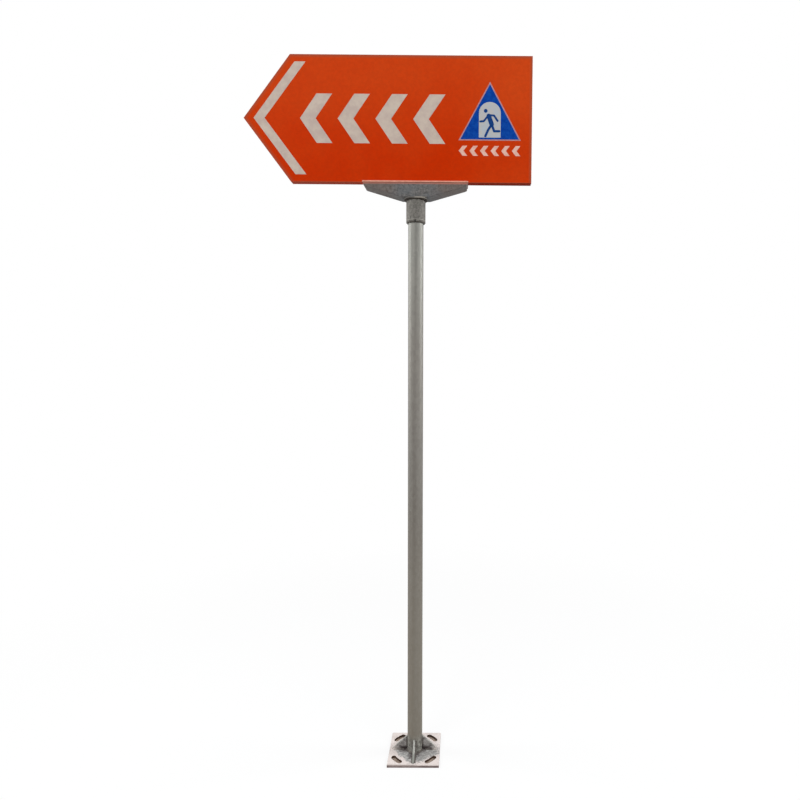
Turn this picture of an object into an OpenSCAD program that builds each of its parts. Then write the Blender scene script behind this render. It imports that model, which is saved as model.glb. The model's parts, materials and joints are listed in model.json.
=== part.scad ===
// Civil defence shelter sign: a boxed arrow panel that stands on a folded saddle,
// a slip-on collar, a round pole and a slotted base plate with four gussets.
// Millimetres. Z is up, the pole's axis is the Z axis, the ground is z = 0,
// the printed face looks to -Y and the arrow points to -X.

/* [Base] */
// Side of the square base plate
plate_side = 205; // [190:5:300]
// Thickness of the base plate
plate_t = 10; // [6:1:16]
// Radius of the circle that the anchor slots follow
slot_r = 97; // [92:1:105]
// Width of an anchor slot
slot_w = 20; // [12:1:24]
// Angle between the two end centres of an anchor slot
slot_sweep = 21; // [8:1:28]
// Thickness of a gusset
gusset_t = 8; // [5:1:12]
// How far a gusset reaches out from the pole
gusset_reach = 63; // [35:1:70]
// Height of a gusset against the pole
gusset_h = 56; // [40:1:110]
// Height of a gusset at its toe
gusset_toe = 2; // [2:1:20]
// Width of a gusset's flat top
gusset_top = 2; // [2:1:15]
// Corner that a gusset leaves free for the weld round the pole
gusset_snipe = 10; // [9:1:16]
// Leg of the fillet welds at the foot
weld_leg = 5; // [3:0.5:6]

/* [Pole] */
// Outside diameter of the pole
pole_d = 60; // [48:1:76]
// Wall of the pole
pole_wall = 3; // [2:0.5:5]
// Length of the pole, from the base plate to the saddle's floor
pole_len = 2215; // [1500:5:3000]

/* [Collar] */
// Wall of the collar
collar_wall = 7; // [5:0.5:8]
// Gap between the collar and the pole, all round
collar_fit = 0.5; // [0.2:0.1:0.8]
// Length of the collar below the saddle
collar_len = 95; // [70:1:140]
// Distance of the turned line from the collar's lower end
collar_line_h = 8; // [5:1:12]
// Depth and half height of the turned line
collar_line_cut = 0.9; // [0.4:0.1:1.5]
// Bevel on the outer edge of the collar's lower end
collar_bevel = 3.5; // [0.5:0.5:4]
// Bevel on the inner edge of the collar's lower end
collar_lead = 1; // [0.5:0.5:2.5]
// Width of the notch in the collar's lower end
notch_w = 5; // [3:1:8]
// Height of the notch
notch_h = 11; // [6:1:16]
// Thread diameter of the two grub screws
screw_d = 8; // [6:1:12]
// Width across the flats of the grub screws' sockets
socket_af = 4; // [3:0.5:5]
// Height of the lower grub screw above the collar's lower end
screw_low = 28; // [22:1:32]
// Distance between the two grub screws
screw_pitch = 40; // [20:1:45]
// Leg of the weld between the collar and the saddle
collar_weld_leg = 10; // [3:0.5:12]

/* [Saddle] */
// Length of the saddle's body along the panel
saddle_len = 400; // [300:5:500]
// Depth of the saddle's body from front to back
saddle_depth = 76; // [70:1:90]
// Height from the saddle's floor to the panel
saddle_h = 60; // [48:1:90]
// Height of the body's upright ends below the top plate
saddle_end_h = 11; // [10:1:20]
// Length of the flat stretch of the floor that the collar is welded to
saddle_flat = 108; // [96:1:140]
// Sheet thickness of the cheeks and of the floor
saddle_sheet = 4; // [3:0.5:5]
// Outside radius of the floor's bends
saddle_bend = 8; // [6:0.5:10]
// Thickness of the top plate
top_plate_t = 6; // [4:1:10]
// How far the top plate stands out past the body
top_plate_over = 3; // [2:0.5:8]

/* [Panel] */
// Length of the panel from the tail to the tip
panel_len = 1110; // [900:10:1300]
// Length of the pointed end
arrow_len = 180; // [120:5:240]
// Height of the panel
panel_h = 480; // [400:10:560]
// Distance of the tail edge from the pole's axis
panel_tail = 448; // [420:1:520]
// Thickness of the panel
panel_t = 32; // [28:1:50]
// Sheet thickness of the tray and of the back
panel_sheet = 1.5; // [1:0.5:2]
// Depth of the back sheet inside the tray's edge
back_recess = 1; // [0.5:0.5:3]
// Gap between the back sheet and the tray's walls
back_fit = 0.5; // [0.2:0.1:1]
// Bevel that stands for the tray's folded front edges
tray_bevel = 1; // [0.4:0.1:1.2]
// Width of the square tubes of the inner frame
rail_w = 25; // [22:1:40]
// Wall of the inner frame's tubes
rail_wall = 2; // [1:0.5:2]
// Side of the two posts that tie the frame to the saddle
post_w = 20; // [12:1:20]
// Distance between the centres of the two posts
post_pitch = 240; // [120:5:260]
// Gap round a post where it passes through a sheet
post_fit = 0.3; // [0.2:0.1:0.5]
// How far a post reaches below the top plate
post_drop = 12; // [8:1:14]

/* [Face] */
// Thickness of one layer of cut film
film_t = 0.4; // [0.2:0.1:1]
// Distance of the large chevron from the tip, along the panel
chevron_from_tip = 39; // [25:1:70]
// Length of the large chevron's stroke along the panel
chevron_stroke = 42; // [25:1:60]
// Distance of the chevron's cut ends from the panel's long edges
chevron_end_gap = 28; // [15:1:60]
// Number of marks in the legend
legend_count = 4; // [2:1:4]
// Place of the legend's first mark, from the tail edge
legend_from_tail = 893; // [860:1:895]
// Distance from one legend mark to the next
legend_pitch = 145; // [130:1:150]
// Height of a legend mark
legend_h = 186; // [120:1:220]
// Length of a legend mark's stroke along the panel
legend_stroke = 60; // [25:1:65]
// Depth of a legend mark's point
legend_point = 64; // [40:1:75]
// Width of the triangular emblem
emblem_w = 241; // [180:1:250]
// Height of the triangular emblem
emblem_h = 221; // [160:1:230]
// Distance of the emblem's centre from the tail edge
emblem_from_tail = 163; // [140:1:180]
// Height of the emblem's base above the panel's lower edge
emblem_base = 161; // [150:1:200]
// Width of the emblem's pale border
emblem_border = 4.5; // [2:0.5:8]
// Number of marks in the line under the emblem
caption_count = 6; // [3:1:8]
// Height of the small marks
caption_h = 38; // [20:1:44]
// Length of the line of small marks
caption_len = 246; // [160:1:250]
// Gap between the small marks and the emblem
caption_gap = 20; // [12:1:30]
// Width of the doorway
door_w = 84; // [60:1:90]
// Height of the doorway, its round head included
door_h = 134; // [100:1:140]
// Height of the doorway above the emblem's base
door_sill = 11; // [8:1:16]
// Thickness of the running figure's limbs
limb_w = 7.5; // [5:0.5:9]

/* [Hidden] */
$fn = 72;
cut = 1;
pole_r = pole_d / 2;
collar_ri = pole_r + collar_fit;
collar_ro = collar_ri + collar_wall;
collar_top = plate_t + pole_len;
collar_z = collar_top - collar_len;
thread_fit = 0.1;
screw_sink = 0.5;
weld_over = 3;
saddle_body_h = saddle_h - top_plate_t;
saddle_top = collar_top + saddle_body_h;
panel_z = collar_top + saddle_h;
tip_x = panel_tail - panel_len;
shoulder_x = tip_x + arrow_len;
face_y = -panel_t / 2;
rail_d = panel_t - 2 * panel_sheet - back_recess;
rail_y = face_y + panel_sheet;
post_y = rail_y + rail_d / 2;
arrow_rise = panel_h / 2;
arrow_edge = norm([arrow_len, arrow_rise]);
caption_pitch = caption_len / caption_count;
emblem_x = panel_tail - emblem_from_tail;
film_edge = 1;

galvanised = [0.48, 0.47, 0.45];
galvanised_dull = [0.40, 0.39, 0.38];
plate_pale = [0.86, 0.84, 0.83];
weld_grey = [0.36, 0.34, 0.32];
screw_dark = [0.25, 0.25, 0.26];
sign_orange = [0.77, 0.22, 0.05];
film_white = [0.77, 0.71, 0.67];
film_blue = [0.04, 0.26, 0.60];
tube_grey = [0.55, 0.56, 0.57];

// Upright slab from y0 to y0 + depth, drawn as its outline in X and Z
module slab(y0, depth) {
    translate([0, y0 + depth, 0])
        rotate([90, 0, 0])
            linear_extrude(depth)
                children();
}

// Points of an arc that rounds the corner b between a and c
function rounded(a, b, c, r, steps = 6) =
    r <= 0 ? [b] :
    let (
        u = (a - b) / norm(a - b),
        v = (c - b) / norm(c - b),
        half = acos(u * v) / 2,
        mid = (u + v) / norm(u + v),
        centre = b + mid * r / sin(half),
        start = b + u * r / tan(half) - centre,
        stop = b + v * r / tan(half) - centre,
        side = start[0] * stop[1] - start[1] * stop[0] > 0 ? 1 : -1,
        sweep = side * (180 - 2 * half)
    )
    [for (i = [0 : steps])
        let (t = sweep * i / steps)
        centre + [start[0] * cos(t) - start[1] * sin(t), start[0] * sin(t) + start[1] * cos(t)]];

// Foot

// Points of an arc about a centre, its two ends included
function arc(centre, r, from, to, steps) =
    [for (i = [0 : steps])
        let (t = from + (to - from) * i / steps)
        centre + r * [cos(t), sin(t)]];

// Slot with round ends that follows a circle round the pole
module arc_slot(r, w, sweep) {
    far = sweep / 2;
    end_a = r * [cos(far), sin(far)];
    end_b = r * [cos(far), -sin(far)];
    polygon(concat(
        arc([0, 0], r + w / 2, -far, far, 5),
        arc(end_a, w / 2, far + 15, far + 165, 10),
        arc([0, 0], r - w / 2, far, -far, 5),
        arc(end_b, w / 2, 195 - far, 345 - far, 10)
    ));
}

module base_plate() {
    color(plate_pale)
        difference() {
            translate([-plate_side / 2, -plate_side / 2, 0])
                cube([plate_side, plate_side, plate_t]);
            for (turn = [45 : 90 : 315])
                rotate(turn)
                    translate([0, 0, -cut])
                        linear_extrude(plate_t + 2 * cut)
                            arc_slot(slot_r, slot_w, slot_sweep);
        }
}

// Gusset that points away from the pole in the direction turn
module gusset(turn) {
    color(galvanised_dull)
        rotate(turn)
            difference() {
                translate([0, 0, plate_t])
                    slab(-gusset_t / 2, gusset_t)
                        polygon([
                            [pole_r - cut, gusset_snipe],
                            [pole_r, gusset_snipe],
                            [pole_r + gusset_snipe, 0],
                            [pole_r + gusset_reach, 0],
                            [pole_r + gusset_reach, gusset_toe],
                            [pole_r + gusset_top, gusset_h],
                            [pole_r - cut, gusset_h]
                        ]);
                cylinder(r = pole_r, h = plate_t + gusset_h + cut);
            }
}

module gusset_front() { gusset(-90); }
module gusset_back() { gusset(90); }
module gusset_left() { gusset(180); }
module gusset_right() { gusset(0); }

// The two fillets on one side of a gusset: along the plate and up the pole.
// Each stops where the gusset gets smaller than the fillet's leg.
module gusset_fillets() {
    run_out = (gusset_reach - gusset_top) / (gusset_h - gusset_toe);
    short_of_toe = max(0, weld_leg - gusset_toe) * run_out;
    short_of_top = max(0, weld_leg - gusset_top) / run_out;
    translate([pole_r + gusset_snipe, gusset_t / 2, plate_t])
        rotate([90, 0, 90])
            linear_extrude(gusset_reach - gusset_snipe - short_of_toe)
                polygon([[0, 0], [weld_leg, 0], [0, weld_leg]]);
    translate([0, 0, plate_t + gusset_snipe])
        linear_extrude(gusset_h - gusset_snipe - short_of_top)
            difference() {
                polygon([
                    [pole_r - 2 * cut, gusset_t / 2],
                    [pole_r + weld_leg, gusset_t / 2],
                    [pole_r - 2 * cut, gusset_t / 2 + weld_leg + cut]
                ]);
                circle(pole_r);
            }
}

module foot_welds() {
    color(weld_grey) {
        translate([0, 0, plate_t])
            rotate_extrude()
                polygon([[pole_r, 0], [pole_r + weld_leg, 0], [pole_r, weld_leg]]);
        for (turn = [0 : 90 : 270])
            rotate(turn)
                for (side = [0, 1])
                    mirror([0, side, 0])
                        gusset_fillets();
    }
}

// Pole and collar

module pole() {
    color(galvanised)
        translate([0, 0, plate_t])
            difference() {
                cylinder(r = pole_r, h = pole_len);
                translate([0, 0, -cut])
                    cylinder(r = pole_r - pole_wall, h = pole_len + 2 * cut);
            }
}

// Axes of the two grub screws, as children placed at the pole's axis
module at_screws() {
    for (i = [0, 1])
        translate([0, 0, collar_z + screw_low + i * screw_pitch])
            rotate([-90, 0, 0])
                children();
}

module collar() {
    color(galvanised)
        difference() {
            translate([0, 0, collar_z])
                rotate_extrude()
                    polygon([
                        [collar_ri + collar_lead, 0],
                        [collar_ro - collar_bevel, 0],
                        [collar_ro, collar_bevel],
                        [collar_ro, collar_line_h - collar_line_cut],
                        [collar_ro - collar_line_cut, collar_line_h],
                        [collar_ro, collar_line_h + collar_line_cut],
                        [collar_ro, collar_len],
                        [collar_ri, collar_len],
                        [collar_ri, collar_lead]
                    ]);
            translate([0, 0, collar_z - cut])
                slab(-collar_ro - cut, collar_wall + 2 * cut)
                    union() {
                        translate([-notch_w / 2, 0])
                            square([notch_w, cut + notch_h - notch_w / 2]);
                        translate([0, cut + notch_h - notch_w / 2])
                            circle(d = notch_w);
                    }
            at_screws()
                translate([0, 0, pole_r - cut])
                    cylinder(d = screw_d, h = collar_fit + collar_wall + 2 * cut);
        }
}

module collar_screws() {
    color(screw_dark)
        at_screws()
            translate([0, 0, pole_r])
                difference() {
                    cylinder(d = screw_d - 2 * thread_fit, h = collar_fit + collar_wall - screw_sink);
                    translate([0, 0, collar_wall / 2])
                        cylinder(d = socket_af / cos(30), h = collar_wall, $fn = 6);
                }
}

// Weld between the collar and the floor, ground back where it would stand out past the body
module collar_weld() {
    reach = saddle_depth / 2 + weld_over;
    color(weld_grey)
        intersection() {
            translate([0, 0, collar_top])
                rotate_extrude()
                    polygon([
                        [collar_ro, 0],
                        [collar_ro + collar_weld_leg, 0],
                        [collar_ro, -collar_weld_leg]
                    ]);
            translate([-saddle_flat, -reach, collar_top - 2 * collar_weld_leg])
                cube([2 * saddle_flat, 2 * reach, 4 * collar_weld_leg]);
        }
}

// Saddle

// Corners of the saddle's side view, moved in by inset; z = 0 is under the top plate.
// The line runs down the left end, along the slope, the flat and the other slope.
function saddle_path(inset, top) =
    let (
        half = saddle_len / 2,
        flat = saddle_flat / 2,
        slope = atan((saddle_body_h - saddle_end_h) / (half - flat)),
        end_x = half - inset,
        end_z = -saddle_end_h + inset * (1 / cos(slope) - tan(slope)),
        flat_x = flat - inset * tan(slope / 2),
        flat_z = -saddle_body_h + inset
    )
    [
        [-end_x, top], [-end_x, end_z], [-flat_x, flat_z],
        [flat_x, flat_z], [end_x, end_z], [end_x, top]
    ];

// Outline of the saddle's side view with its bends
module saddle_outline(inset = 0, top = 0) {
    p = saddle_path(inset, top);
    bend = saddle_bend - inset;
    polygon(concat(
        [p[0]],
        [for (i = [1 : 4]) each rounded(p[i - 1], p[i], p[i + 1], bend)],
        [p[5]]
    ));
}

module saddle_floor() {
    color(galvanised_dull)
        translate([0, 0, saddle_top])
            slab(saddle_sheet - saddle_depth / 2, saddle_depth - 2 * saddle_sheet)
                difference() {
                    saddle_outline();
                    saddle_outline(saddle_sheet, cut);
                }
}

module saddle_cheek(y0) {
    color(galvanised_dull)
        translate([0, 0, saddle_top])
            slab(y0, saddle_sheet)
                saddle_outline();
}

module saddle_front_cheek() { saddle_cheek(-saddle_depth / 2); }
module saddle_back_cheek() { saddle_cheek(saddle_depth / 2 - saddle_sheet); }

module saddle_top_plate() {
    length = saddle_len + 2 * top_plate_over;
    depth = saddle_depth + 2 * top_plate_over;
    color(galvanised)
        difference() {
            translate([-length / 2, -depth / 2, saddle_top])
                cube([length, depth, top_plate_t]);
            post_holes(saddle_top, top_plate_t);
        }
}

// Square passages for the two posts, cut through what lies between z0 and z0 + height
module post_holes(z0, height) {
    side = post_w + 2 * post_fit;
    for (x = [-1, 1] * post_pitch / 2)
        translate([x - side / 2, -side / 2 + post_y, z0 - cut])
            cube([side, side, height + 2 * cut]);
}

// Panel

// Corners of the arrow with every edge moved in by inset: tail low, tail high,
// shoulder high, tip, shoulder low
function arrow_path(inset) =
    let (
        shoulder = shoulder_x + inset * (arrow_edge - arrow_len) / arrow_rise,
        tip = tip_x + inset * arrow_edge / arrow_rise,
        tail = panel_tail - inset,
        low = inset,
        high = panel_h - inset
    )
    [[tail, low], [tail, high], [shoulder, high], [tip, panel_h / 2], [shoulder, low]];

// Prism that bevels the front edge of the tray between two of its corners
module edge_bevel(a, b) {
    run = b - a;
    side = tray_bevel * sqrt(2);
    translate([a[0], face_y, a[1]])
        rotate([0, -atan2(run[1], run[0]), 0])
            translate([-arrow_len, 0, 0])
                rotate([45, 0, 0])
                    translate([0, -side / 2, -side / 2])
                        cube([norm(run) + 2 * arrow_len, side, side]);
}

// Shallow tray: the front sheet with its edges folded back
module panel_tray() {
    p = arrow_path(0);
    color(sign_orange)
        translate([0, 0, panel_z])
            difference() {
                slab(face_y, panel_t)
                    polygon(p);
                slab(rail_y, panel_t)
                    polygon(arrow_path(panel_sheet));
                for (i = [0 : 4])
                    edge_bevel(p[i], p[(i + 1) % 5]);
                post_holes(0, panel_sheet);
            }
}

// Back sheet, let in between the tray's folded edges
module panel_back() {
    color(sign_orange)
        translate([0, 0, panel_z])
            slab(rail_y + rail_d, panel_sheet)
                polygon(arrow_path(panel_sheet + back_fit));
}

// Strip between two insets of the arrow's edge i, longer than the edge by extra at both ends
module edge_strip(i, inset_a, inset_b, extra = 0) {
    a = arrow_path(inset_a);
    b = arrow_path(inset_b);
    j = (i + 1) % 5;
    along = (a[j] - a[i]) / norm(a[j] - a[i]) * extra;
    polygon([a[i] - along, a[j] + along, b[j] + along, b[i] - along]);
}

// One square tube of the inner frame, mitred at both ends, along the arrow's edge i
module rail(i) {
    outer = panel_sheet;
    color(tube_grey)
        translate([0, 0, panel_z])
            difference() {
                slab(rail_y, rail_d)
                    edge_strip(i, outer, outer + rail_w);
                slab(rail_y + rail_wall, rail_d - 2 * rail_wall)
                    edge_strip(i, outer + rail_wall, outer + rail_w - rail_wall, rail_w);
                post_holes(outer, rail_w);
            }
}

module rail_tail() { rail(0); }
module rail_top() { rail(1); }
module rail_tip_upper() { rail(2); }
module rail_tip_lower() { rail(3); }
module rail_bottom() { rail(4); }

// Square tube from inside the saddle up to the top rail
module post(x) {
    foot = saddle_top - post_drop;
    head = panel_z + panel_h - panel_sheet - rail_w;
    bore = post_w - 2 * rail_wall;
    color(tube_grey)
        translate([x, post_y, foot])
            difference() {
                translate([-post_w / 2, -post_w / 2, 0])
                    cube([post_w, post_w, head - foot]);
                translate([-bore / 2, -bore / 2, -cut])
                    cube([bore, bore, head - foot + 2 * cut]);
            }
}

module post_left() { post(-post_pitch / 2); }
module post_right() { post(post_pitch / 2); }

// Face

// One layer of cut film on the face; layer 0 lies on the tray
module film(tint, layer = 0) {
    color(tint)
        translate([0, 0, panel_z])
            slab(face_y - (layer + 1) * film_t, film_t)
                children();
}

// Mark that points to -X: apex at x = 0, half height half_h, sides that run back by
// slope for each unit of height, and a stroke that is measured along X
module chevron(half_h, slope, stroke) {
    back = half_h * slope;
    polygon([
        [0, 0], [back, half_h], [back + stroke, half_h],
        [stroke, 0], [back + stroke, -half_h], [back, -half_h]
    ]);
}

module chevron_film() {
    film(film_white)
        translate([tip_x + chevron_from_tip, panel_h / 2])
            chevron(panel_h / 2 - chevron_end_gap, arrow_len / arrow_rise, chevron_stroke);
}

module legend_film() {
    film(film_white)
        for (i = [0 : legend_count - 1])
            translate([panel_tail - legend_from_tail + i * legend_pitch, panel_h / 2])
                chevron(legend_h / 2, legend_point / (legend_h / 2), legend_stroke);
}

module caption_film() {
    stroke = caption_pitch * 0.44;
    film(film_white)
        for (i = [0 : caption_count - 1])
            translate([
                emblem_x - caption_len / 2 + (i + 0.1) * caption_pitch,
                emblem_base - caption_gap - caption_h / 2
            ])
                chevron(caption_h / 2, 0.72 * caption_pitch / caption_h, stroke);
}

// Triangle on the emblem's base line, with its three edges moved in by inset
module emblem_triangle(inset) {
    half = emblem_w / 2;
    edge = norm([half, emblem_h]);
    foot_x = half - inset * (edge + half) / emblem_h;
    top_z = emblem_h - inset * edge / half;
    translate([emblem_x, emblem_base])
        polygon([[-foot_x, inset], [foot_x, inset], [0, top_z]]);
}

module emblem_border_film() {
    film(film_white)
        emblem_triangle(0);
}

module emblem_field_film() {
    film(film_blue, 1)
        emblem_triangle(emblem_border);
}

// Doorway with a half-round head; its sill is at the origin's height
module doorway_shape() {
    translate([-door_w / 2, 0])
        square([door_w, door_h - door_w / 2]);
    translate([0, door_h - door_w / 2])
        circle(d = door_w);
}

module at_doorway() {
    translate([emblem_x, emblem_base + door_sill])
        children();
}

module doorway_film() {
    film(film_white, 2)
        at_doorway()
            doorway_shape();
}

// Limb with blunt round ends through the points of a path
module limb(path, width) {
    for (i = [0 : len(path) - 2]) {
        step = path[i + 1] - path[i];
        translate(path[i])
            rotate(atan2(step[1], step[0]))
                translate([0, -width / 2])
                    square([norm(step), width]);
    }
    for (joint = path)
        translate(joint)
            circle(d = width, $fn = 12);
}

// Running figure, set out from the doorway's width and height so that it stays inside
module runner_shape() {
    leg_w = 1.2 * limb_w;
    half = door_w / 2 - film_edge;
    shoulder = [-0.05 * door_w, 0.61 * door_h];
    hip = [0.09 * door_w, 0.37 * door_h];
    translate([-0.19 * door_w, 0.75 * door_h])
        circle(d = 0.17 * door_w);
    limb([shoulder, hip], 2.3 * limb_w);
    limb([
        shoulder - [0.03 * door_w, 0],
        [-0.28 * door_w, 0.46 * door_h],
        [limb_w / 2 - half, 0.45 * door_h]
    ], limb_w);
    limb([
        shoulder + [0.02 * door_w, 0.02 * door_h],
        [0.19 * door_w, 0.62 * door_h],
        [0.36 * door_w, 0.47 * door_h]
    ], limb_w);
    limb([hip, [-0.07 * door_w, 0.22 * door_h], [-0.2 * door_w, leg_w / 2 + film_edge]], leg_w);
    limb([hip, [0.2 * door_w, 0.18 * door_h], [half - leg_w / 2, 0.18 * door_h]], leg_w);
}

module runner_film() {
    film(film_blue, 3)
        at_doorway()
            runner_shape();
}

base_plate();
gusset_front();
gusset_back();
gusset_left();
gusset_right();
foot_welds();
pole();
collar();
collar_screws();
collar_weld();
saddle_floor();
saddle_front_cheek();
saddle_back_cheek();
saddle_top_plate();
panel_tray();
panel_back();
rail_top();
rail_bottom();
rail_tail();
rail_tip_upper();
rail_tip_lower();
post_left();
post_right();
chevron_film();
legend_film();
caption_film();
emblem_border_film();
emblem_field_film();
doorway_film();
runner_film();
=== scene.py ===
"""Civil defence shelter sign: finishes, weld beads, rivets, camera and light.

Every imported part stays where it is. Cut plates get a copy with eased edges, the plain
fillets become rippled weld beads, and each surface gets its finish. Metres; Z is up,
the printed face looks to -Y and the arrow points to -X.
"""
import json
import math

import bmesh
import bpy
import numpy as np
from mathutils import Matrix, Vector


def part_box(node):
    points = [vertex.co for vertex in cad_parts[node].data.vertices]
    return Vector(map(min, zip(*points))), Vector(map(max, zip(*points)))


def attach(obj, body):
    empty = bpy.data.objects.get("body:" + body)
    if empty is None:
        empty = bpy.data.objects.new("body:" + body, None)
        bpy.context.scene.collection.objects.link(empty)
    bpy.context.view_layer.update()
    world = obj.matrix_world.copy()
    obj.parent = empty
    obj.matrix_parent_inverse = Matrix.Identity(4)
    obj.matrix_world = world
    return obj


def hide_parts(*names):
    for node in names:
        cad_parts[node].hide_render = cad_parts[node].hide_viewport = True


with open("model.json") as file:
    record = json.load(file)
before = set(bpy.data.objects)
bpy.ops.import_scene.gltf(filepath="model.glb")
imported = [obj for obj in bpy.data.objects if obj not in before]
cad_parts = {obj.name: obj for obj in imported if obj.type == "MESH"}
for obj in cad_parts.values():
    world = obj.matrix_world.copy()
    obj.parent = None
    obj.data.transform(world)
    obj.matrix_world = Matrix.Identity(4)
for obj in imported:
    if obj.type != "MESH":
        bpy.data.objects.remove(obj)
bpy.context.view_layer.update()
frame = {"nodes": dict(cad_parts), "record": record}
scene = bpy.context.scene
nodes = frame["nodes"]
slot_of = {part["node"]: part["material_slot"] for part in frame["record"]["subparts"]}

tray_low, tray_high = (np.array(corner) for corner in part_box("panel_tray"))
panel_mid = float(tray_low[2] + tray_high[2]) / 2
pole_r = float(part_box("pole")[1][0])
collar_foot = float(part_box("collar")[0][2])
collar_r, _, collar_top = map(float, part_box("collar")[1])
cheek_top = float(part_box("saddle_front_cheek")[1][2])


# Shader maths

class Value:
    """One shader socket. Python's operators on it add the Math nodes that work them out."""

    def __init__(self, shader, socket):
        self.shader = shader
        self.socket = socket

    def _math(self, operation, first, second):
        return self.shader.node("ShaderNodeMath", {"operation": operation}, {0: first, 1: second})

    def __add__(self, other):
        return self._math("ADD", self, other)

    def __radd__(self, other):
        return self._math("ADD", other, self)

    def __sub__(self, other):
        return self._math("SUBTRACT", self, other)

    def __rsub__(self, other):
        return self._math("SUBTRACT", other, self)

    def __mul__(self, other):
        return self._math("MULTIPLY", self, other)

    def __rmul__(self, other):
        return self._math("MULTIPLY", other, self)

    def __or__(self, other):
        """The larger of two masks."""
        return self._math("MAXIMUM", self, other)

    def __abs__(self):
        return self._math("ABSOLUTE", self, 0.0)


class Shader:
    """The node tree of one material or of the world."""

    def __init__(self, owner):
        owner.use_nodes = True
        self.owner = owner
        self.tree = owner.node_tree
        self.tree.nodes.clear()

    def node(self, kind, settings=(), sockets=(), output=0):
        """Adds a node: its settings first, then the values or links of its sockets."""
        made = self.tree.nodes.new(kind)
        for key, value in dict(settings).items():
            setattr(made, key, value)
        for key, value in dict(sockets).items():
            if isinstance(value, Value):
                self.tree.links.new(value.socket, made.inputs[key])
            else:
                made.inputs[key].default_value = value
        return Value(self, made.outputs[output])

    def place(self, scale=(1, 1, 1)):
        """Object coordinates in metres, stretched."""
        at = self.node("ShaderNodeTexCoord", output="Object")
        return self.node("ShaderNodeMapping", {}, {"Vector": at, "Scale": scale})

    def axis(self, letter, of=None):
        """One coordinate of the surface point, or of another vector."""
        of = of or self.node("ShaderNodeTexCoord", output="Object")
        return self.node("ShaderNodeSeparateXYZ", {}, {"Vector": of}, output=letter)

    def reach(self, scale=(1, 1, 1)):
        """Distance from the middle of the plate's underside.

        With the scale (1, 1, 0) it is the distance from the pole's axis.
        """
        at = self.place(scale)
        return self.node("ShaderNodeVectorMath", {"operation": "LENGTH"}, {0: at}, "Value")

    def facing(self, letter):
        """One coordinate of the surface's outward direction."""
        return self.axis(letter, self.node("ShaderNodeNewGeometry", output="Normal"))

    def step(self, value, start, stop):
        """Mask that rises smoothly from 0 at start to 1 at stop."""
        return self.node(
            "ShaderNodeMapRange",
            {"interpolation_type": "SMOOTHSTEP"},
            {"Value": value, "From Min": start, "From Max": stop, "To Min": 0.0, "To Max": 1.0},
        )

    def band(self, value, start, full, still, stop):
        """Mask that rises from start to full and falls again from still to stop."""
        return self.step(value, start, full) * (1 - self.step(value, still, stop))

    def cloud(self, size, detail=3.0, rough=0.5, stretch=(1, 1, 1)):
        """Noise between 0 and 1 whose patches are about size metres across."""
        return self.node("ShaderNodeTexNoise", {}, {
            "Vector": self.place(stretch),
            "Scale": 0.5 / size,
            "Detail": detail,
            "Roughness": rough,
        }, "Fac")

    def spread(self, noise, width=0.22):
        """Noise pulled apart from its middle, so that it uses the whole range from 0 to 1."""
        return self.step(noise, 0.5 - width, 0.5 + width)

    def mix(self, first, second, factor):
        """Blend of two colours."""
        return self.node(
            "ShaderNodeMix",
            {"data_type": "RGBA"},
            {0: factor, 6: first, 7: second},
            output=2,
        )

    def bump(self, height, depth, strength):
        """Small relief: height is 0 to 1 and depth is in metres."""
        return self.node("ShaderNodeBump", {}, {
            "Strength": strength,
            "Distance": depth,
            "Height": height,
        }, "Normal")

    def surface(self, shader):
        """Makes a shader the surface of the material or of the world."""
        owner = "World" if isinstance(self.owner, bpy.types.World) else "Material"
        made = self.tree.nodes.new("ShaderNodeOutput" + owner)
        self.tree.links.new(shader.socket, made.inputs["Surface"])


def tone(red, green, blue):
    """Colour from 0 to 255 values, as the linear numbers that a shader takes."""
    srgb = np.array([red, green, blue]) / 255
    linear = np.where(srgb > 0.04045, ((srgb + 0.055) / 1.055) ** 2.4, srgb / 12.92)
    return (*map(float, linear), 1.0)


def finish(name, paint):
    """Material whose surface is worked out by paint, given its shader tree."""
    material = bpy.data.materials.new(name)
    shader = Shader(material)
    shader.surface(paint(shader))
    return material


# Finishes

def sign_film(deep, hazed, rim, under, patch=0.09):
    """Reflective film on sheet: hazier towards the top, mottled, and darker brown along its edges,
    which is painted shade of the rolled edge.

    under is a pair of colours painted on the downward side as light and shade, the tip end first:
    lighter at the tip end, darker at the tail.
    The distance from the slanted edges is 0.8 times the way behind the tip less 0.6 times
    the way above or below it, because those edges rise 0.24 m over 0.18 m.
    """
    low, high = tray_low.tolist(), tray_high.tolist()
    speck = (0.05, 0.012, 0.006, 1)

    def paint(s):
        x, z = s.axis("X"), s.axis("Z")
        height = s.step(z, low[2] + 0.035, high[2] - 0.025)
        far_side = s.step(x, 0.15, 0.44)
        worn = s.spread(s.cloud(patch, 4.0, 0.6))
        grain = s.spread(s.cloud(0.006, 3.0, 0.6))
        slant = (x - low[0]) * 0.8 - abs(z - panel_mid) * 0.6
        # edge masks a band along the outline, where the rim colour paints the shade of the rolled
        # edge.
        edge = (
            s.step(z, high[2] - 0.016, high[2] - 0.003)
            | s.step(x, high[0] - 0.014, high[0] - 0.003)
            | 1 - s.step(z, low[2] + 0.001, low[2] + 0.0045)
            | 1 - s.step(slant, 0.002, 0.016)
        )
        colour = s.mix(deep, hazed, height * 0.6 + far_side * 0.3 + worn * 0.25)
        colour = s.mix(colour, speck, grain * 0.1)
        colour = s.mix(colour, rim, edge * 0.75)
        # Painted light and shade on the downward side: lighter towards the tip, darker towards the
        # tail.
        below = s.mix(under[0], under[1], s.step(x, -0.25, 0.25))
        colour = s.mix(colour, below, 1 - s.step(s.facing("Z"), -0.8, -0.4))
        return s.node("ShaderNodeBsdfPrincipled", {}, {
            "Base Color": colour,
            "Roughness": 0.5 + worn * 0.12,
            "Specular IOR Level": 0.015,
            "Normal": s.bump(grain, 0.0001, 0.3),
        })
    return paint


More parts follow.
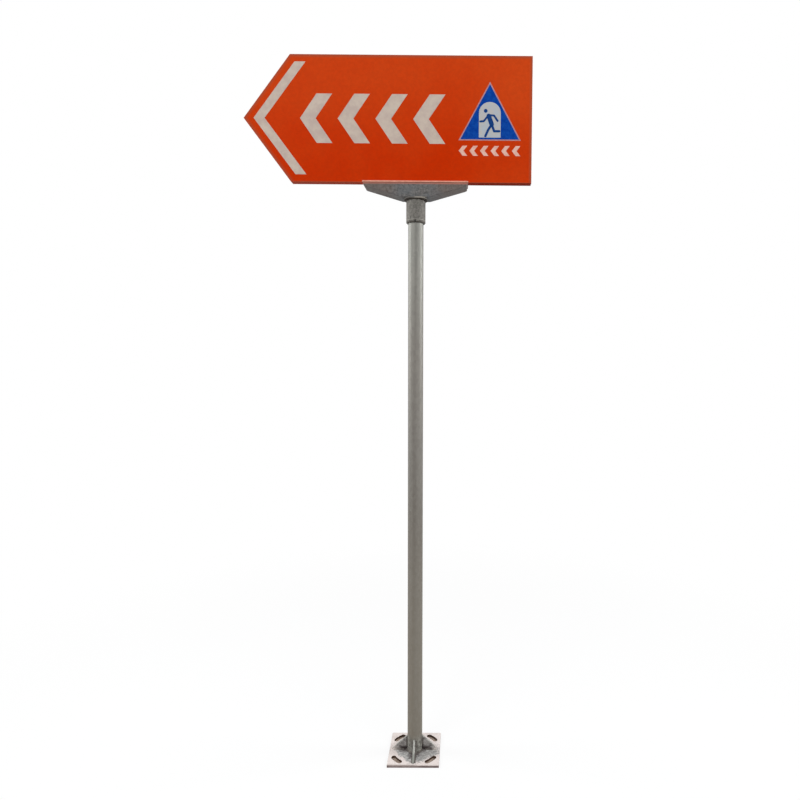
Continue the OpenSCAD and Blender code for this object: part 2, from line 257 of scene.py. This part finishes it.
def cut_film(clean, dusty, patch=0.02):
    """Flat cut film with faint dust."""
    def paint(s):
        dust = s.spread(s.cloud(patch, 4.0, 0.65), 0.18)
        grain = s.spread(s.cloud(0.004, 2.0))
        colour = s.mix(clean, dusty, dust)
        return s.node("ShaderNodeBsdfPrincipled", {}, {
            "Base Color": colour,
            "Roughness": 0.4 + dust * 0.15,
            "Specular IOR Level": 0.03,
            "Normal": s.bump(grain, 0.00006, 0.3),
        })
    return paint


def drawn_zinc(s):
    """Galvanised tube: faint streaks and spangle, duller and warmer towards the dirty foot.

    Higher up, its two sides that face left and right are painted paler: painted light.
    """
    streak = s.spread(s.cloud(0.010, 3.0, 0.5, (1, 1, 0.02)))
    patch = s.spread(s.cloud(0.16, 3.0, 0.55, (1, 1, 0.5)))
    cells = {"Vector": s.place((1, 1, 0.6)), "Scale": 110.0}
    spangle = s.axis("X", s.node("ShaderNodeTexVoronoi", {"feature": "F1"}, cells, "Color"))
    blotch = s.spread(s.cloud(0.009, 4.0, 0.65), 0.16)
    height = s.axis("Z")
    high = s.step(height, 1.5, 2.15)
    low = 1 - s.step(height, 0.25, 1.3)
    foot = 1 - s.step(height, 0.045, 0.09)
    # Painted shade on the pole inside the collar, seen through its notch.
    sleeve = s.step(height, collar_foot - 0.0005, collar_foot + 0.001)
    # Painted light on the pole's left and right sides, stronger higher up.
    side_light_strength = 0.2 * s.step(height, 0.7, 1.2) + 0.14 * s.step(height, 1.6, 2.15)
    painted_side_light = side_light_strength * s.step(abs(s.facing("X")), 0.08, 0.85)
    colour = s.mix(tone(99, 94, 88), tone(96, 97, 92), high)
    colour = s.mix(colour, tone(148, 150, 145), painted_side_light)
    colour = s.mix(colour, tone(124, 117, 105), low)
    colour = s.mix(colour, tone(150, 147, 141), streak * 0.2 + patch * 0.12 + spangle * 0.14)
    colour = s.mix(colour, s.mix(tone(92, 90, 86), tone(164, 163, 155), blotch), foot * 0.9)
    colour = s.mix(colour, tone(62, 59, 56), sleeve)
    return s.node("ShaderNodeBsdfPrincipled", {}, {
        "Base Color": colour,
        "Metallic": 0.45 + high * 0.1 - foot * 0.3,
        "Roughness": 0.5 + 0.05 * streak + 0.1 * low,
        "Specular IOR Level": 0.3,
        "Normal": s.bump(streak * 0.3 + spangle * 0.3 + blotch * foot, 0.0001, 0.3),
    })


def dipped_zinc(
    dark, pale, metal, patch, relief=0.0004, under=None, over=None, cool=None, dirt_and_light_tints=()
):
    """Rough hot-dipped steel: dull grey patches, small runs and pits.

    patch is the size of the patches in metres. under and over tint what looks down and up: under
    is painted shade, and over is painted light on the gussets' slopes. cool tints some of the
    broad patches, and dirt_and_light_tints holds pairs of a colour and a function that gives its
    mask: some are dust and dirt, others painted light and painted shade.
    """
    def paint(s):
        cast = s.spread(s.cloud(patch, 4.0, 0.65), 0.17)
        drift = s.spread(s.cloud(patch * 7, 3.0))
        pits = s.spread(s.cloud(patch * 0.45, 2.0, 0.6), 0.14)
        colour = s.mix(dark, pale, cast * 0.5 + drift * 0.2 + pits * 0.3)
        if cool:
            colour = s.mix(colour, cool, s.spread(s.cloud(patch * 4, 2.0)) * 0.45)
        # On the gussets, over paints light on what looks up.
        if over:
            colour = s.mix(colour, over, s.step(s.facing("Z"), 0.4, 0.65) * (0.3 + 0.5 * cast))
        for tint, mask in dirt_and_light_tints:
            colour = s.mix(colour, tint, mask(s))
        # under paints shade on what looks down.
        if under:
            colour = s.mix(colour, under, 1 - s.step(s.facing("Z"), -0.8, -0.45))
        return s.node("ShaderNodeBsdfPrincipled", {}, {
            "Base Color": colour,
            "Metallic": metal,
            "Roughness": 0.55 + 0.15 * drift,
            "Specular IOR Level": 0.25,
            "Normal": s.bump(cast * 0.7 + pits * 0.3, relief, 0.6),
        })
    return paint


def collar_foot_shade(s):
    """Painted shade in a band at the collar's lower end."""
    return (1 - s.step(s.axis("Z"), collar_foot + 0.0035, collar_foot + 0.006)) * 0.4


def collar_line_highlight(s):
    """Painted highlight on the edge just over the collar's turned line."""
    above = s.axis("Z") - collar_foot
    return s.band(above, 0.008, 0.009, 0.0115, 0.013) * 0.4


def neck_shade(s):
    """Painted shade on both sides of the collar, close below its weld."""
    sides = s.step(abs(s.axis("X")), 0.010, 0.032)
    return sides * s.step(s.axis("Z"), collar_top - 0.016, collar_top - 0.011) * 0.6


def neck_toe(s):
    """The top of the collar's weld, where it runs out over the saddle."""
    return s.step(s.axis("Z"), collar_top - 0.0045, collar_top - 0.0025)


def right_of_neck(s):
    """The right half of the front, as far as the collar's weld is wide."""
    half = s.band(s.axis("X"), -0.008, 0.006, 0.040, 0.048)
    return half * (1 - s.step(s.axis("Y"), -0.030, -0.020))


def toe_highlight(s):
    """Painted highlight on the top of the collar's weld."""
    return neck_toe(s) * right_of_neck(s) * 0.8


def cheek_highlight(s):
    """Painted highlight on the lower edge of the front cheek, over the weld."""
    edge = 1 - s.step(s.axis("Z"), collar_top + 0.001, collar_top + 0.0035)
    return right_of_neck(s) * edge * 0.5


def saddle_ends(s):
    """Browner dust towards the saddle's ends."""
    return s.step(abs(s.axis("X")), 0.04, 0.13) * 0.35


def lip_highlight(s):
    """Painted highlight, pale brown-orange, on the upper edge of the saddle's cheeks, close below
    the top plate.
    """
    return s.step(s.axis("Z"), cheek_top - 0.009, cheek_top) * 0.8


def gusset_corner_dirt_and_shade(s):
    """Dirt and painted shade on the gussets in the corner between the pole and the plate."""
    near = 1 - s.step(s.reach((1, 1, 0)), 0.048, 0.078)
    return near * (1 - s.step(s.axis("Z"), 0.018, 0.031)) * 0.9


def side_toes(s):
    """Pale dust on the ends of the left and the right gusset."""
    return s.step(abs(s.axis("X")), 0.066, 0.086) * 0.7


def front_toe(s):
    """The front gusset's lower half, greyer than its brow, where less of the painted light from
    over shows.
    """
    return (1 - s.step(s.axis("Y"), -0.080, -0.050)) * 0.75


def pale_plate(s):
    """Pale zinc on the plate's top, over brown sheared sides and darker slots. The sheared sides'
    brown is partly cut steel and partly painted shade; the slots' darker walls are painted shade.

    It is greyed in a diamond whose corners are the gussets' toes, with dirt and painted shade,
    reaching a little further out at the front right as a darker painted shadow. It is darker close
    to the gussets near the pole, with dirt and painted shade, and duller along the left of its
    front edge.
    """
    patch = s.spread(s.cloud(0.02, 4.0, 0.6))
    scuff = s.spread(s.cloud(0.004, 4.0, 0.65), 0.15)
    side = 1 - s.step(s.facing("Z"), 0.35, 0.8)
    x, y = s.axis("X"), s.axis("Y")
    wide, deep = abs(x), abs(y)
    uneven = 0.025 * (patch - 0.5) + 0.014 * (scuff - 0.5)
    # front_right and the darker grey that follows it paint the shadow cast towards the front
    # right.
    front_right = (x | 0.0) * (1 - s.step(y, -0.035, 0.0))
    grey = 1 - s.step(wide + deep + uneven - 0.45 * front_right, 0.082, 0.108)
    beside = 1 - s.step(wide, 0.012, 0.032) | 1 - s.step(deep, 0.012, 0.032)
    # Dirt and painted shade close to the gussets near the pole.
    dirt_and_corner_shade = beside * (1 - s.step(s.reach() + uneven, 0.046, 0.067))
    front_left = (1 - s.step(y, -0.101, -0.095)) * (1 - s.step(x, -0.02, 0.03))
    rim = s.step(wide | deep, 0.0985, 0.1015)
    colour = s.mix(tone(221, 212, 208), tone(198, 187, 182), patch * 0.5 + (1 - scuff) * 0.3)
    colour = s.mix(colour, s.mix(tone(136, 136, 136), tone(188, 189, 186), scuff), grey * 0.9)
    colour = s.mix(colour, tone(112, 108, 105), grey * s.step(front_right, 0.0, 0.035) * 0.35)
    colour = s.mix(colour, tone(78, 68, 68), dirt_and_corner_shade * 0.8)
    colour = s.mix(colour, tone(146, 134, 128), front_left * 0.7)
    # Sides: the slot walls' dark brown is painted shade, and the sheared outer sides are partly
    # cut steel, partly painted shade.
    sheared = s.mix(tone(160, 146, 142), tone(124, 109, 106), patch)
    colour = s.mix(colour, s.mix(tone(80, 63, 53), sheared, rim), side)
    return s.node("ShaderNodeBsdfPrincipled", {}, {
        "Base Color": colour,
        "Metallic": 0.1,
        "Roughness": 0.5 + 0.15 * patch,
        "Specular IOR Level": 0.15,
        "Normal": s.bump(patch * 0.5 + scuff * 0.5, 0.0003, 0.5),
    })


def bead(dark, pale, dirt_and_light_tints):
    """Weld bead, darker in its valleys; dirt_and_light_tints holds pairs of a colour and a mask
    function, dust and painted highlights among them.
    """
    def paint(s):
        burn = s.spread(s.cloud(0.006, 4.0, 0.6), 0.16)
        colour = s.mix(dark, pale, burn)
        for tint, mask in dirt_and_light_tints:
            colour = s.mix(colour, tint, mask(s))
        return s.node("ShaderNodeBsdfPrincipled", {}, {
            "Base Color": colour,
            "Metallic": 0.3,
            "Roughness": 0.52 + 0.15 * burn,
            "Specular IOR Level": 0.25,
            "Normal": s.bump(burn, 0.0003, 0.5),
        })
    return paint


def dark_screw(s):
    """Blackened screw with a little dust in the socket."""
    dust = s.spread(s.cloud(0.003, 3.0))
    return s.node("ShaderNodeBsdfPrincipled", {}, {
        "Base Color": s.mix(tone(38, 38, 40), tone(74, 72, 70), dust * 0.6),
        "Metallic": 0.7,
        "Roughness": 0.35 + 0.2 * dust,
    })


def bare_tube(s):
    """Inner square tube: smooth zinc with a rolled streak."""
    streak = s.spread(s.cloud(0.01, 3.0, 0.5, (0.05, 1, 1)))
    return s.node("ShaderNodeBsdfPrincipled", {}, {
        "Base Color": s.mix(tone(132, 134, 136), tone(158, 160, 162), streak),
        "Metallic": 0.8,
        "Roughness": 0.3 + 0.12 * streak,
    })


def dull_rivet(s):
    """Head of a blind rivet, painted over with the sheet."""
    rub = s.spread(s.cloud(0.004, 3.0))
    return s.node("ShaderNodeBsdfPrincipled", {}, {
        "Base Color": s.mix(tone(176, 50, 12), tone(150, 120, 104), rub * 0.5),
        "Roughness": 0.42 + 0.15 * rub,
        "Specular IOR Level": 0.2,
    })


# Each paint is made once, under the name of the slot that it belongs to.
paints = {
    "sign_orange": sign_film(
        deep=tone(199, 47, 0),
        hazed=tone(209, 71, 22),
        # rim: painted shade along the panel's rolled edges.
        rim=tone(160, 80, 54),
        # under: painted light at the tip end and painted shade at the tail, on the downward side.
        under=(tone(208, 90, 64), tone(164, 54, 32)),
    ),
    "film_white": cut_film(tone(203, 188, 174), tone(190, 172, 162)),
    "film_blue": cut_film(tone(2, 56, 146), tone(14, 74, 164), 0.008),
    "pole_zinc": drawn_zinc,
    "collar_zinc": dipped_zinc(
        tone(70, 68, 64), tone(124, 121, 115), metal=0.35, patch=0.0045, relief=0.0003,
        # under: painted shade on the collar's downward faces.
        under=tone(80, 75, 68),
        dirt_and_light_tints=[
            (tone(54, 49, 46), collar_foot_shade),
            (tone(156, 152, 145), collar_line_highlight),
            (tone(44, 36, 32), neck_shade),
        ],
    ),
    "saddle_zinc": dipped_zinc(
        tone(54, 53, 54), tone(122, 119, 116), metal=0.3, patch=0.0045,
        cool=tone(84, 92, 98),
        dirt_and_light_tints=[
            (tone(104, 80, 66), saddle_ends),
            (tone(152, 146, 136), cheek_highlight),
            (tone(196, 118, 96), lip_highlight),
        ],
    ),
    # The top plate's pale pink-orange is a painted highlight along its lit front edge.
    "top_plate_zinc": dipped_zinc(
        tone(196, 128, 106), tone(222, 160, 138), metal=0.2, patch=0.008, relief=0.0002,
        # under: painted shade on the top plate's downward faces.
        under=tone(108, 92, 88),
        over=tone(128, 124, 120),
    ),
    "pale_plate": pale_plate,
    "gusset_steel": dipped_zinc(
        tone(74, 70, 69), tone(190, 186, 182), metal=0.25, patch=0.006, relief=0.0005,
        # over: painted light on the gussets' upward slopes.
        over=tone(172, 174, 166),
        dirt_and_light_tints=[
            (tone(113, 115, 109), front_toe),
            (tone(200, 192, 187), side_toes),
            (tone(44, 30, 32), gusset_corner_dirt_and_shade),
        ],
    ),
    "weld": bead(
        tone(66, 61, 58), tone(116, 110, 105),
        dirt_and_light_tints=[(tone(190, 182, 176), side_toes)],
    ),
    "screw": dark_screw,
    "frame_tube": bare_tube,
}
finishes = {slot: finish(slot, paint) for slot, paint in paints.items()}

# Finishes of single pieces, which their slot's own paint doesn't fit.
small_marks = finish("small_marks", cut_film(tone(231, 192, 178), tone(219, 168, 151), 0.008))
border_pink = finish("border_pink", cut_film(tone(186, 146, 152), tone(174, 128, 132), 0.008))
door_white = finish("door_white", cut_film(tone(176, 184, 192), tone(188, 184, 180), 0.012))
dark_blue = finish("dark_blue", cut_film(tone(16, 58, 118), tone(26, 66, 128), 0.008))
# The collar's weld gets a dark copy of the weld paint: painted shade below the saddle. Its toe is
# painted lighter as a painted highlight, and toe_highlight is brighter still on the right front.
shaded_bead = finish("shaded_bead", bead(
    tone(34, 29, 23), tone(56, 50, 43),
    dirt_and_light_tints=[(tone(98, 95, 91), neck_toe), (tone(152, 146, 136), toe_highlight)],
))
rivet_paint = finish("rivet_paint", dull_rivet)

for name, part in nodes.items():
    part.material_slots[0].material = finishes[slot_of[name]]
for name, material in {
    "caption_film": small_marks,
    "emblem_border_film": border_pink,
    "doorway_film": door_white,
    "runner_film": dark_blue,
}.items():
    nodes[name].material_slots[0].material = material


# Pieces

def piece(name, mesh, slot, material=None, instead_of=()):
    """Object for a mesh that is already in place; it rides with the sign."""
    made = bpy.data.objects.new(name, mesh)
    scene.collection.objects.link(made)
    mesh.materials.clear()
    mesh.materials.append(material or finishes[slot])
    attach(made, "root")
    if instead_of:
        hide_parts(*instead_of)
    return made


def eased(node, width):
    """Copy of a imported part, merged, with its sharp edges rounded off by width metres."""
    flat, crease = math.radians(0.6), math.radians(28)
    mesh = nodes[node].data.copy()
    mesh.name = node + "_eased"
    work = bmesh.new()
    work.from_mesh(mesh)
    bmesh.ops.remove_doubles(work, verts=work.verts, dist=2e-6)
    bmesh.ops.dissolve_limit(
        work, angle_limit=flat, use_dissolve_boundaries=False, verts=work.verts, edges=work.edges
    )
    work.to_mesh(mesh)
    work.free()
    if "custom_normal" in mesh.attributes:
        mesh.attributes.remove(mesh.attributes["custom_normal"])
    mesh.shade_smooth()
    mesh.set_sharp_from_angle(angle=crease)
    made = piece(node + "_eased", mesh, slot_of[node], instead_of=[node])
    edge = made.modifiers.new("eased_edge", "BEVEL")
    edge.width = width
    edge.segments = 2
    edge.limit_method = "ANGLE"
    edge.angle_limit = crease
    edge.harden_normals = True


def closed_grid(points, capped=True):
    """Vertices and faces of a tube made of rings of points.

    points has the shape (rings, points of a ring, 3). The tube's ends are capped or, with
    capped off, joined to each other.
    """
    rings, around, _ = points.shape
    index = np.arange(rings * around).reshape(rings, around)
    beside = np.roll(index, -1, axis=1)
    ahead, ahead_beside = np.roll(index, -1, axis=0), np.roll(beside, -1, axis=0)
    quads = np.stack([index, beside, ahead_beside, ahead], axis=-1)
    if capped:
        caps = [index[0][::-1].tolist(), index[-1].tolist()]
        faces = quads[:-1].reshape(-1, 4).tolist() + caps
    else:
        faces = quads.reshape(-1, 4).tolist()
    return points.reshape(-1, 3), faces


def solid(name, parts):
    """Mesh made of several closed grids, with its faces turned outwards."""
    mesh = bpy.data.meshes.new(name)
    vertices, faces, start = [], [], 0
    for points, quads in parts:
        vertices.append(points)
        faces += [[i + start for i in face] for face in quads]
        start += len(points)
    mesh.from_pydata(np.concatenate(vertices).tolist(), [], faces)
    work = bmesh.new()
    work.from_mesh(mesh)
    bmesh.ops.recalc_face_normals(work, faces=work.faces)
    work.to_mesh(mesh)
    work.free()
    mesh.shade_smooth()
    mesh.set_sharp_from_angle(angle=math.radians(60))
    return mesh


def bead_points(path, floor, wall, leg, wall_leg=None, pitch=0.0034, across=9):
    """Rippled fillet bead along a path in the corner between a floor and a wall.

    At share t across, the skin lies at leg times (1 - t) along the floor direction plus
    wall_leg times t along the wall direction, pushed out by a bulge of sin(pi t). Along the
    path the leg swells and falls once in each pitch, later in the middle than at the
    toes, which draws the overlapping scales of a bead, and wavers slowly besides. A last
    column closes the bead, sunk a little way into the corner.
    """
    sunk = 0.0006
    step = np.linalg.norm(np.diff(path, axis=0), axis=1)
    run = np.concatenate([[0.0], np.cumsum(step)])[:, None]
    t = np.linspace(0, 1, across)[None, :]
    lag = 0.8 * pitch * np.sin(np.pi * t)
    phase = ((run - lag) / pitch) % 1.0
    scale, waver = 0.13 * np.sin(np.pi * phase) ** 0.6, 0.05 * np.sin(run * 310 + 1.3)
    swell = 0.94 * (1.0 + scale + waver)
    leg = np.asarray(leg).reshape(-1, 1)
    wall_leg = leg if wall_leg is None else wall_leg
    bulge = 0.2 * np.sin(np.pi * t)
    skin = (
        path[:, None, :]
        + (leg * swell * (1 - t + bulge))[..., None] * floor[:, None, :]
        + (wall_leg * swell * (t + bulge))[..., None] * wall[:, None, :]
    )
    back = path[:, None, :] - sunk * (floor + wall)[:, None, :]
    return np.concatenate([skin, back], axis=1)


def ring_bead(radius, height, up, leg, wall_leg=None, steps=300):
    """Bead in the corner between a round post of the given radius and a level face.

    up is 1 where the post stands on the face and -1 where it hangs under it.
    """
    turn = np.linspace(0, 2 * np.pi, steps, endpoint=False)
    out = np.stack([np.cos(turn), np.sin(turn), np.zeros(steps)], axis=1)
    path = out * radius + [0, 0, height]
    wall = np.tile([0.0, 0.0, up], (steps, 1))
    return closed_grid(bead_points(path, out, wall, leg, wall_leg), capped=False)


def straight_bead(start, stop, floor, wall, leg, steps=90):
    """Bead between two points, its ends drawn in to a rounded tail."""
    share = np.linspace(0, 1, steps)[:, None]
    path = start + share * (stop - start)
    length = np.linalg.norm(stop - start)
    room = np.minimum(share, 1 - share)[:, 0] * length
    tail = np.sqrt(np.clip(1 - (1 - np.clip(room / leg, 0, 1)) ** 2, 0.02, 1))
    floor, wall = (np.tile(v, (steps, 1)) for v in (floor, wall))
    return closed_grid(bead_points(path, floor, wall, leg * tail))


def turned(vector, angle):
    """Vector turned about the vertical axis by an angle in degrees."""
    c, s = math.cos(math.radians(angle)), math.sin(math.radians(angle))
    return np.array([c * vector[0] - s * vector[1], s * vector[0] + c * vector[1], vector[2]])


# The welds at the foot: one ring, and two upright and two level beads on each gusset.
# The upright ones follow the pole's skin, which turns back by lean in each step along.
plate_top = float(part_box("base_plate")[1][2])
toe_x, gusset_half, brow_z = map(float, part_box("gusset_right")[1])
foot_leg = 0.005
snipe = 0.010
toe_gap, brow_gap = 0.004, 0.003
lean, along = 0.13, 0.97
up = np.array([0.0, 0.0, 1.0])
corner_x = math.sqrt(pole_r**2 - gusset_half**2)

beads = [ring_bead(pole_r, plate_top, 1.0, foot_leg)]
for quarter in (0, 90, 180, 270):
    for side in (-1, 1):
        edge_y = side * gusset_half
        outward = turned(np.array([0.0, side, 0.0]), quarter)
        beads.append(straight_bead(
            turned(np.array([pole_r + snipe, edge_y, plate_top]), quarter),
            turned(np.array([toe_x - toe_gap, edge_y, plate_top]), quarter),
            outward, up, foot_leg,
        ))
        beads.append(straight_bead(
            turned(np.array([corner_x, edge_y, plate_top + snipe]), quarter),
            turned(np.array([corner_x, edge_y, brow_z - brow_gap]), quarter),
            turned(np.array([1.0, side * lean, 0.0]), quarter),
            outward * along + turned(np.array([-lean, 0.0, 0.0]), quarter),
            foot_leg,
        ))
piece("foot_beads", solid("foot_beads", beads), "weld", instead_of=["foot_welds"])

# The weld round the collar keeps within neck_reach of the saddle's middle plane.
neck_leg = 0.009
neck_reach = 0.0405
neck_steps = 420
turn = np.linspace(0, 2 * np.pi, neck_steps, endpoint=False)
room = neck_reach / np.maximum(np.abs(np.sin(turn)), 1e-3) - collar_r
neck_ring = ring_bead(collar_r, collar_top, -1.0, np.minimum(neck_leg, room), neck_leg, neck_steps)
piece("collar_bead", solid("collar_bead", [neck_ring]), "weld", shaded_bead, ["collar_weld"])

for name, width in {
    "base_plate": 0.0009,
    "gusset_front": 0.0009,
    "gusset_back": 0.0009,
    "gusset_left": 0.0009,
    "gusset_right": 0.0009,
    "saddle_top_plate": 0.0010,
    "saddle_front_cheek": 0.0012,
    "saddle_back_cheek": 0.0012,
    "saddle_floor": 0.0003,
    "panel_tray": 0.0003,
    "panel_back": 0.0002,
}.items():
    eased(name, width)


def rivet_points(centre, radius=0.0048, rise=0.0013):
    """Domed head on a sheet that looks to +Y.

    Its rings follow a quarter circle from rim to crown, squashed to the rise, over an
    upright rim that is sunk into the sheet.
    """
    arc = np.linspace(0, math.pi / 2 * 0.96, 6)
    ring = np.array([1.0, *np.cos(arc)])[:, None]
    high = np.array([-0.3, *np.sin(arc)])[:, None]
    angle = np.linspace(0, 2 * np.pi, 20, endpoint=False)
    points = np.stack([
        centre[0] + radius * ring * np.cos(angle),
        centre[1] + rise * high + 0 * angle,
        centre[2] + radius * ring * np.sin(angle),
    ], axis=-1)
    return closed_grid(points)


# Rivets follow the back sheet's outline at about the same pitch.
back_y = float(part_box("panel_back")[1][1])
rivet_inset, rivet_pitch = 0.014, 0.15
left, bottom = float(tray_low[0]) + 0.0235, float(tray_low[2]) + rivet_inset
right, top = float(tray_high[0]) - rivet_inset, float(tray_high[2]) - rivet_inset
shoulder = float(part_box("rail_top")[0][0]) + 0.004
corners = np.array([
    (right, bottom),
    (right, top),
    (shoulder, top),
    (left, panel_mid),
    (shoulder, bottom),
])
heads = []
for first, second in zip(corners, np.roll(corners, -1, axis=0)):
    count = max(2, round(float(np.linalg.norm(second - first)) / rivet_pitch))
    for share in np.arange(count) / count:
        x, z = first + share * (second - first)
        heads.append(rivet_points((x, back_y, z)))
piece("back_rivets", solid("back_rivets", heads), "sign_orange", rivet_paint)


# Camera, lamps, floor

def aim(yaw, pitch, roll):
    """Turning matrix of a camera from angles in degrees; yaw 0 looks to +Y."""
    yaw, pitch, roll = map(math.radians, (yaw, pitch, roll))
    ahead = np.array([
        -math.sin(yaw) * math.cos(pitch),
        math.cos(yaw) * math.cos(pitch),
        math.sin(pitch),
    ])
    right = np.array([math.cos(yaw), math.sin(yaw), 0.0])
    up = np.cross(right, ahead)
    right, up = (
        math.cos(roll) * right + math.sin(roll) * up,
        -math.sin(roll) * right + math.cos(roll) * up,
    )
    return Matrix(np.stack([right, up, -ahead], axis=1).tolist()).to_4x4()


# Frame, focal length and the point straight ahead, in the picture's pixels.
frame_px = 800
focal_px = 584.6
ahead_px = (464.5, 395.3)

lens = bpy.data.cameras.new("camera")
camera = bpy.data.objects.new("camera", lens)
scene.collection.objects.link(camera)
lens.sensor_width = 36.0
lens.lens = focal_px / frame_px * lens.sensor_width
lens.shift_x = (frame_px / 2 - ahead_px[0]) / frame_px
lens.shift_y = (ahead_px[1] - frame_px / 2) / frame_px
lens.clip_start = 0.05
lens.clip_end = 200.0
camera.matrix_world = Matrix.Translation((0.1834, -2.3189, 1.5824)) @ aim(-0.27, -3.0, 0.36)
scene.camera = camera


def lamp(name, place, target, size, watts):
    """Soft rectangular lamp that looks at a point and isn't seen itself."""
    light = bpy.data.lights.new(name, "AREA")
    light.shape = "RECTANGLE"
    light.size, light.size_y = size
    light.energy = watts
    made = bpy.data.objects.new(name, light)
    scene.collection.objects.link(made)
    way = np.array(target, float) - np.array(place, float)
    way /= np.linalg.norm(way)
    side = np.cross(way, [0, 0, 1])
    side /= np.linalg.norm(side)
    turn = np.stack([side, np.cross(side, way), -way], axis=1)
    made.matrix_world = Matrix.Translation(place) @ Matrix(turn.tolist()).to_4x4()
    made.visible_camera = False


lamp("key", (-2.6, -4.6, 4.2), (0, 0, 1.6), (3.0, 3.0), 140)
lamp("fill", (3.4, -4.2, 3.0), (0, 0, 1.5), (3.0, 3.0), 90)
lamp("left_strip", (-2.6, 0.2, 2.4), (0, 0, 2.0), (1.0, 1.8), 50)
lamp("right_strip", (2.6, 0.2, 2.4), (0, 0, 2.0), (1.0, 1.8), 52)
lamp("top", (0.0, 0.6, 5.2), (0, 0, 0), (2.6, 2.6), 40)

world = bpy.data.worlds.new("studio")
scene.world = world
sky = Shader(world)


def seen(s):
    """Mask of the rays that show the background: straight views, reflections and glass."""
    def ray(kind):
        return s.node("ShaderNodeLightPath", output=kind)
    return ray("Is Camera Ray") | ray("Is Glossy Ray") | ray("Is Transmission Ray")


sky.surface(sky.node("ShaderNodeMixShader", {}, {
    0: seen(sky),
    1: sky.node("ShaderNodeBackground", {}, {"Color": (0.96, 0.98, 1.0, 1), "Strength": 0.42}),
    2: sky.node("ShaderNodeBackground", {}, {"Color": (1, 1, 1, 1), "Strength": 1.0}),
}))


def studio_floor(s):
    """White floor that keeps the sign's faint shadow round the plate.

    Straight views and reflections show it paler than the floor that lights the sign.
    Beneath the plate, where only the slots show it, it is a darker, mottled brown.
    """
    shown = seen(s)
    pale = s.mix((0.27, 0.265, 0.26, 1), (0.8, 0.8, 0.8, 1), shown)
    beneath_plate = 1 - s.step(abs(s.axis("X")) | abs(s.axis("Y")), 0.098, 0.100)
    plain = (0.84 + 0.16 * s.step(s.reach(), 0.5, 3.0)) * (1 - beneath_plate)
    dust = s.mix(tone(138, 123, 111), tone(172, 155, 142), s.spread(s.cloud(0.01, 3.0)))
    return s.node("ShaderNodeMixShader", {}, {
        0: shown * plain,
        1: s.node("ShaderNodeBsdfDiffuse", {}, {"Color": s.mix(pale, dust, beneath_plate)}),
        2: s.node("ShaderNodeEmission", {}, {"Color": (1, 1, 1, 1), "Strength": 1.0}),
    })


half = 40
floor_mesh = bpy.data.meshes.new("studio_floor")
floor_mesh.from_pydata(
    [(-half, -half, 0), (half, -half, 0), (half, half, 0), (-half, half, 0)], [], [(0, 1, 2, 3)]
)
floor = bpy.data.objects.new("studio_floor", floor_mesh)
scene.collection.objects.link(floor)
floor_mesh.materials.append(finish("studio_floor", studio_floor))

scene.view_settings.view_transform = "Standard"
